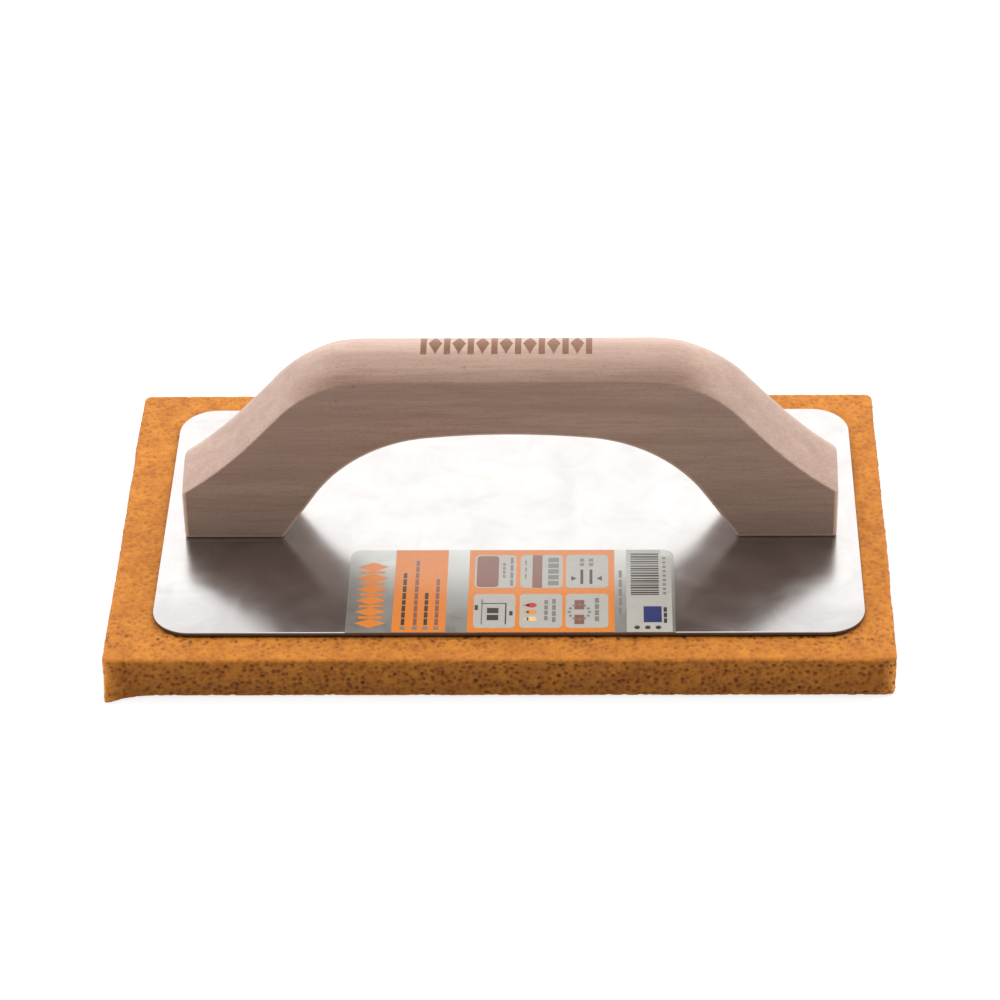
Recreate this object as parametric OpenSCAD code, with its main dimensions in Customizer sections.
// Grout float: a cellular rubber pad glued under an aluminium plate, with an arched
// beech handle screwed on from below.
// Millimetres. The origin is the middle of the pad's working face, +X runs along the
// float, +Y to its back edge and +Z up to the grip.

/* [Foam pad] */
// Length of the pad
pad_l = 240; // [200:5:300]
// Width of the pad
pad_w = 140; // [130:5:180]
// Thickness of the pad
pad_t = 14; // [8:1:30]

/* [Backing plate] */
// Length of the aluminium plate
plate_l = 217; // [212:1:240]
// Width of the aluminium plate
plate_w = 117; // [90:1:126]
// Sheet thickness of the plate
plate_t = 1.5; // [1.5:0.1:3]
// Radius of the plate's four corners
plate_corner_r = 12; // [4:1:20]
// How far the plate sits off the pad's middle along X, as glued by hand
plate_shift = 2.5; // [-3:0.5:3]
// Thickness of the contact adhesive between pad and plate
glue_t = 0.3; // [0.1:0.1:0.5]
// How far the adhesive stays back from the plate's rim
glue_inset = 1.5; // [0.5:0.5:4]

/* [Handle] */
// Length of the handle over its two feet
handle_l = 203.4; // [198:0.2:208]
// Thickness of the handle, front face to back face
handle_t = 22; // [20:1:28]
// Height of the grip's upper edge above the plate
grip_edge_h = 58.8; // [55:0.2:64]
// Rise of the rounded top above the edge of the flat faces, on the grip
crown_rise = 6.4; // [4:0.2:8]
// Rise of the rounded top on the shoulders, where the hand bears
shoulder_crown_rise = 6.9; // [4:0.1:8]
// Rise of the rounded top on the left arm, which is sanded lower
left_crown_rise = 4.8; // [3:0.1:8]
// Rise of the rounded top on the right arm
right_crown_rise = 6.1; // [3:0.1:8]
// Length of the straight middle of the grip
grip_straight_l = 83.6; // [78:0.2:88]
// Radius of the two shoulders
shoulder_r = 38; // [34:1:42]
// Steepest slope of the arms, in degrees
arm_slope = 48; // [44:1:50]
// Length of each arm's straight stretch
arm_straight_l = 12; // [8:1:14]
// Radius of the hollow sweep from each arm to its foot
arm_sweep_r = 130; // [110:5:160]

/* [Finger arch] */
// Height of the arch above the plate
arch_h = 39.1; // [34:0.1:42]
// Radius of the arch's nearly flat middle
arch_middle_r = 240; // [200:10:300]
// Half angle of that middle arc, in degrees
arch_middle_angle = 6; // [4:0.5:8]
// Radius of the arch's shoulders
arch_shoulder_r = 48; // [44:1:50]
// Slope of the inner side of each leg, in degrees
arch_leg_slope = 57; // [52:1:60]

/* [Screws] */
// Outer diameter of the thread
screw_d = 3; // [2.9:0.1:3.2]
// Diameter of the countersunk head
screw_head_d = 5.8; // [5.4:0.1:5.8]
// Overall length of each screw
screw_l = 16; // [12:0.5:16]
// Distance between the two screws of one foot
screw_spacing = 15; // [12:0.5:18]

/* [Label] */
// Length of the label on the plate's front edge
label_l = 100; // [80:1:110]
// Width of the label, front to back
label_w = 41; // [30:1:42]
// Thickness of the label foil
label_t = 0.15; // [0.1:0.05:0.2]
// Radius of the label's two back corners
label_corner_r = 3.5; // [1:0.5:6]
// How far the label sits to the right of the plate's middle
label_shift = 0.8; // [0:0.1:2]

/* [Hidden] */
$fn = 96;

plate_bottom_z = pad_t + glue_t;
plate_top_z = plate_bottom_z + plate_t;

// The crown is one circular arc over the handle's thickness, cut in this many steps.
crown_steps = 12;

// Where each arm's straight stretch starts and ends, above the plate.
grip_end_x = grip_straight_l / 2;
arm_top = [grip_end_x + shoulder_r * sin(arm_slope),
           grip_edge_h - shoulder_r * (1 - cos(arm_slope))];
arm_bottom = arm_top + arm_straight_l * [cos(arm_slope), -sin(arm_slope)];
// Centre of the hollow sweep, outside and above the arm, and its slope just past the foot.
sweep_centre = arm_bottom + arm_sweep_r * [sin(arm_slope), cos(arm_slope)];
sweep_end_slope = asin(sin(arm_slope) - (handle_l / 2 + 1 - arm_bottom[0]) / arm_sweep_r);
shoulder_steps = 16;
sweep_steps = 7;

// How high the crown rises at places along X.
crown_rises = [[-arm_top[0], left_crown_rise], [-grip_end_x - 10, shoulder_crown_rise],
               [-grip_end_x, crown_rise], [grip_end_x, crown_rise],
               [grip_end_x + 10, shoulder_crown_rise], [arm_top[0], right_crown_rise]];

// Places along the grip's upper edge on the +X side, each as [x, z, slope].
edge_places = concat(
    [for (i = [0 : shoulder_steps]) let (slope = arm_slope * i / shoulder_steps)
        [grip_end_x + shoulder_r * sin(slope),
         grip_edge_h - shoulder_r * (1 - cos(slope)), slope]],
    [for (i = [0 : sweep_steps])
        let (slope = arm_slope + (sweep_end_slope - arm_slope) * i / sweep_steps)
        [sweep_centre[0] - arm_sweep_r * sin(slope), sweep_centre[1] - arm_sweep_r * cos(slope), slope]]);

// The same places over the whole handle, from the left foot to the right.
all_places = concat(
    [for (i = [len(edge_places) - 1 : -1 : 0]) let (p = edge_places[i]) [-p[0], p[1], -p[2]]],
    edge_places);

// Ends of the arch's middle arc and shoulder arc.
arch_middle_end = [arch_middle_r * sin(arch_middle_angle),
                   arch_h - arch_middle_r * (1 - cos(arch_middle_angle))];
arch_shoulder_centre = arch_middle_end
    - arch_shoulder_r * [sin(arch_middle_angle), cos(arch_middle_angle)];
arch_leg_top = arch_shoulder_centre + arch_shoulder_r * [sin(arch_leg_slope), cos(arch_leg_slope)];
arch_foot_x = arch_leg_top[0] + arch_leg_top[1] / tan(arch_leg_slope);
arch_steps = 20;

// The screws stand either side of the middle of each foot.
foot_middle_x = (arch_foot_x + handle_l / 2) / 2;
screw_inner_x = foot_middle_x - screw_spacing / 2;
screw_outer_x = foot_middle_x + screw_spacing / 2;
screw_places = [-screw_outer_x, -screw_inner_x, screw_inner_x, screw_outer_x];

// Screw details: 90 degree countersink, a plain shank, then the thread and the point.
screw_head_h = (screw_head_d - screw_d) / 2;
screw_land = plate_t - screw_head_h;
screw_core_d = 0.64 * screw_d;
thread_pitch = 1.3;
thread_start = 5.2;
thread_turns = floor((screw_l - thread_start - 2) / thread_pitch);
recess_w = 0.9;
recess_l = 3.4;
recess_depth = 1;
bore_clearance = 0.05;
bore_depth = screw_l - plate_t + 0.6;

// One ring of the handle's outer shape: the crown from front to back, square to the grip's
// edge, then straight down to the plate.
function handle_ring(place) =
    let (crown = lookup(place[0], crown_rises),
         crown_r = (pow(handle_t / 2, 2) + pow(crown, 2)) / (2 * crown),
         half_angle = asin(handle_t / 2 / crown_r))
    concat(
        [for (i = [0 : crown_steps])
            let (turn = half_angle * (2 * i / crown_steps - 1),
                 rise = crown - crown_r * (1 - cos(turn)))
            [place[0] + rise * sin(place[2]), crown_r * sin(turn), place[1] + rise * cos(place[2])]],
        [[place[0], handle_t / 2, 0], [place[0], -handle_t / 2, 0]]);

// A closed skin over rings of n points each.
module skin(rings, n) {
    last = len(rings) - 1;
    polyhedron(
        points = [for (ring = rings) each ring],
        faces = concat(
            [[for (k = [0 : n - 1]) k]],
            [for (i = [0 : last - 1], k = [0 : n - 1])
                [i * n + k, (i + 1) * n + k, (i + 1) * n + (k + 1) % n, i * n + (k + 1) % n]],
            [[for (k = [n - 1 : -1 : 0]) last * n + k]]));
}

// Front view of the space for the fingers: feet, legs, shoulders and the flat middle.
function arch_right_half() = concat(
    [for (i = [0 : arch_steps]) let (slope = arch_middle_angle * i / arch_steps)
        [arch_middle_r * sin(slope), arch_h - arch_middle_r * (1 - cos(slope))]],
    [for (i = [1 : arch_steps])
        let (slope = arch_middle_angle + (arch_leg_slope - arch_middle_angle) * i / arch_steps)
        arch_shoulder_centre + arch_shoulder_r * [sin(slope), cos(slope)]],
    [[arch_foot_x, 0], [arch_foot_x, -1]]);

module arch_outline() {
    right = arch_right_half();
    left = [for (i = [len(right) - 1 : -1 : 1]) [-right[i][0], right[i][1]]];
    polygon(concat(left, right));
}

// A bore for a screw, open at the foot's underside and pointed like a drill at its end.
module screw_bore() {
    r = screw_d / 2 + bore_clearance;
    translate([0, 0, -1]) cylinder(r = r, h = bore_depth + 1);
    translate([0, 0, bore_depth]) cylinder(r1 = r, r2 = 0.1, h = 0.9);
}

// A countersunk wood screw, its head's flat face at z = 0 and its point upwards.
module wood_screw() {
    core_r = screw_core_d / 2;
    r = screw_d / 2;
    thread_end = thread_start + thread_turns * thread_pitch;
    ridges = [for (i = [0 : thread_turns - 1], step = [0 : 2])
        [step == 1 ? r : core_r, thread_start + thread_pitch * (i + [0.1, 0.5, 0.9][step])]];
    difference() {
        rotate_extrude() polygon(concat(
            [[0, 0], [screw_head_d / 2, 0], [screw_head_d / 2, screw_land],
             [r, screw_land + screw_head_h], [r, thread_start - 0.6], [core_r, thread_start]],
            ridges,
            [[core_r, thread_end], [0, screw_l]]));
        for (turn = [0, 90])
            rotate([0, 0, turn]) translate([-recess_l / 2, -recess_w / 2, -1])
                cube([recess_l, recess_w, recess_depth + 1]);
    }
}

// Puts a screw in its hole: i counts the holes along X.
module place_screw(i) {
    translate([plate_shift + screw_places[i], 0, plate_bottom_z]) wood_screw();
}

// A rectangle with rounded corners about the origin.
module rounded_rectangle(l, w, r) {
    square([l - 2 * r, w], center = true);
    square([l, w - 2 * r], center = true);
    for (x = [-1, 1], y = [-1, 1])
        translate([x * (l / 2 - r), y * (w / 2 - r)]) circle(r = r);
}

module foam_pad() {
    color("#dc8b42") translate([-pad_l / 2, -pad_w / 2, 0]) cube([pad_l, pad_w, pad_t]);
}

module pad_adhesive() {
    color("#c9a24a") translate([plate_shift, 0, pad_t]) linear_extrude(glue_t)
        rounded_rectangle(plate_l - 2 * glue_inset, plate_w - 2 * glue_inset,
                          plate_corner_r - glue_inset);
}

module backing_plate() {
    color("#d5d5d2") translate([plate_shift, 0, plate_bottom_z]) difference() {
        linear_extrude(plate_t) rounded_rectangle(plate_l, plate_w, plate_corner_r);
        for (x = screw_places) translate([x, 0, 0]) {
            translate([0, 0, -1]) cylinder(r = screw_d / 2 + bore_clearance, h = plate_t + 2);
            translate([0, 0, -1]) cylinder(r = screw_head_d / 2 + bore_clearance, h = 1 + screw_land);
            translate([0, 0, screw_land]) cylinder(r1 = screw_head_d / 2 + bore_clearance,
                r2 = screw_d / 2 + bore_clearance, h = screw_head_h);
        }
    }
}

module wood_handle() {
    color("#b98f6d") translate([plate_shift, 0, plate_top_z]) difference() {
        intersection() {
            skin([for (place = all_places) handle_ring(place)], crown_steps + 3);
            translate([-handle_l / 2, -handle_t, -1])
                cube([handle_l, 2 * handle_t, grip_edge_h + 12]);
        }
        translate([0, handle_t, 0]) rotate([90, 0, 0]) linear_extrude(2 * handle_t) arch_outline();
        for (x = screw_places) translate([x, 0, 0]) screw_bore();
    }
}

module screw_left_outer() { color("#c8a94f") place_screw(0); }
module screw_left_inner() { color("#c8a94f") place_screw(1); }
module screw_right_inner() { color("#c8a94f") place_screw(2); }
module screw_right_outer() { color("#c8a94f") place_screw(3); }

module plate_label() {
    color("#e0741f") translate([plate_shift + label_shift, -plate_w / 2, plate_top_z]) linear_extrude(label_t)
        intersection() {
            rounded_rectangle(label_l, 2 * label_w, label_corner_r);
            translate([-label_l / 2, 0]) square([label_l, label_w]);
        }
}

foam_pad();
pad_adhesive();
backing_plate();
wood_handle();
screw_left_outer();
screw_left_inner();
screw_right_inner();
screw_right_outer();
plate_label();
